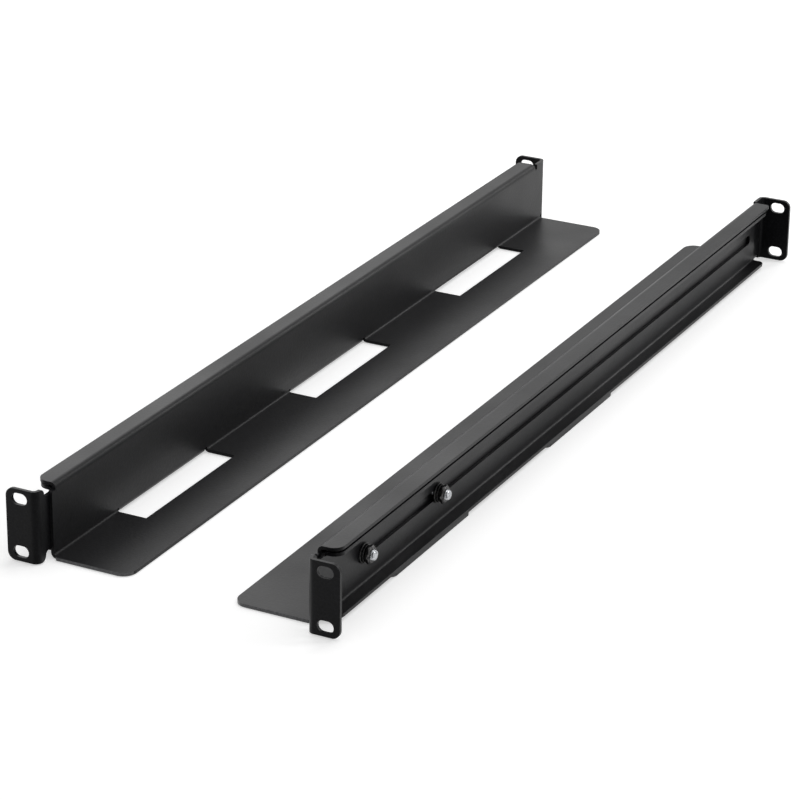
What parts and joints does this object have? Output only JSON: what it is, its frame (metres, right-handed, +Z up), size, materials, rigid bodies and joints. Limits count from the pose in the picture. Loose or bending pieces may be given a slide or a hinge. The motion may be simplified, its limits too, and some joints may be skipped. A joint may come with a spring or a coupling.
{
  "type": "rack mounting rails",
  "caption": "Pair of black steel shelf rails for a 19 inch rack, each with an outer channel that slides out on two studs with nuts, slotted end ears and windows along the shelf.",
  "frame": {"origin": "middle of the bounding box's base, half way between the two rails", "axes": "+Y along the rails to the rear ears, +Z up, +X to the right seen from the front ears"},
  "size_m": [0.2084, 0.6514, 0.0444],
  "materials": {
    "black_powder_coat": "fine-textured satin black powder coat on 2 mm steel",
    "zinc_plate": "bright zinc-plated steel thread",
    "black_oxide": "black-oxide steel, lightly oiled"
  },
  "bodies": {
    "shelf_rails": {"left_shelf_rail": "black_powder_coat", "left_front_stud": "zinc_plate", "left_front_flat_washer": "black_oxide", "left_rear_stud": "zinc_plate", "left_rear_flat_washer": "black_oxide", "right_shelf_rail": "black_powder_coat", "right_front_stud": "zinc_plate", "right_front_flat_washer": "black_oxide", "right_rear_stud": "zinc_plate", "right_rear_flat_washer": "black_oxide"},
    "left_channel": {"left_extension_channel": "black_powder_coat"},
    "left_front_lock_washer": {"left_front_lock_washer": "black_oxide"},
    "left_front_nut": {"left_front_hex_nut": "black_oxide"},
    "left_rear_lock_washer": {"left_rear_lock_washer": "black_oxide"},
    "left_rear_nut": {"left_rear_hex_nut": "black_oxide"},
    "right_channel": {"right_extension_channel": "black_powder_coat"},
    "right_front_lock_washer": {"right_front_lock_washer": "black_oxide"},
    "right_front_nut": {"right_front_hex_nut": "black_oxide"},
    "right_rear_lock_washer": {"right_rear_lock_washer": "black_oxide"},
    "right_rear_nut": {"right_rear_hex_nut": "black_oxide"}
  },
  "joints": [
    {"name": "left_rail_extend", "type": "slide", "parent": "shelf_rails", "child": "left_channel", "axis": [0, -1, 0], "range_m": [0, 0.471]},
    {"name": "left_front_nut_advance", "type": "slide", "parent": "shelf_rails", "child": "left_front_lock_washer", "axis": [-1, 0, 0], "range_m": [0, 0.002]},
    {"name": "left_front_nut_turn", "type": "hinge", "parent": "left_front_lock_washer", "child": "left_front_nut", "pos_m": [-0.0938, -0.26575, 0.0222], "axis": [-1, 0, 0], "range_deg": [0, 720]},
    {"name": "left_rear_nut_advance", "type": "slide", "parent": "shelf_rails", "child": "left_rear_lock_washer", "axis": [-1, 0, 0], "range_m": [0, 0.002]},
    {"name": "left_rear_nut_turn", "type": "hinge", "parent": "left_rear_lock_washer", "child": "left_rear_nut", "pos_m": [-0.0938, -0.17685, 0.0222], "axis": [-1, 0, 0], "range_deg": [0, 720]},
    {"name": "right_rail_extend", "type": "slide", "parent": "shelf_rails", "child": "right_channel", "axis": [0, -1, 0], "range_m": [0, 0.471]},
    {"name": "right_front_nut_advance", "type": "slide", "parent": "shelf_rails", "child": "right_front_lock_washer", "axis": [1, 0, 0], "range_m": [0, 0.002]},
    {"name": "right_front_nut_turn", "type": "hinge", "parent": "right_front_lock_washer", "child": "right_front_nut", "pos_m": [0.0938, -0.26575, 0.0222], "axis": [1, 0, 0], "range_deg": [0, 720]},
    {"name": "right_rear_nut_advance", "type": "slide", "parent": "shelf_rails", "child": "right_rear_lock_washer", "axis": [1, 0, 0], "range_m": [0, 0.002]},
    {"name": "right_rear_nut_turn", "type": "hinge", "parent": "right_rear_lock_washer", "child": "right_rear_nut", "pos_m": [0.0938, -0.17685, 0.0222], "axis": [1, 0, 0], "range_deg": [0, 720]}
  ],
  "couplings": [
    {"joint": "left_front_nut_turn", "follows": "left_front_nut_advance", "rad_per_m": 6283.2},
    {"joint": "left_rear_nut_turn", "follows": "left_rear_nut_advance", "rad_per_m": 6283.2},
    {"joint": "right_front_nut_turn", "follows": "right_front_nut_advance", "rad_per_m": 6283.2},
    {"joint": "right_rear_nut_turn", "follows": "right_rear_nut_advance", "rad_per_m": 6283.2}
  ]
}
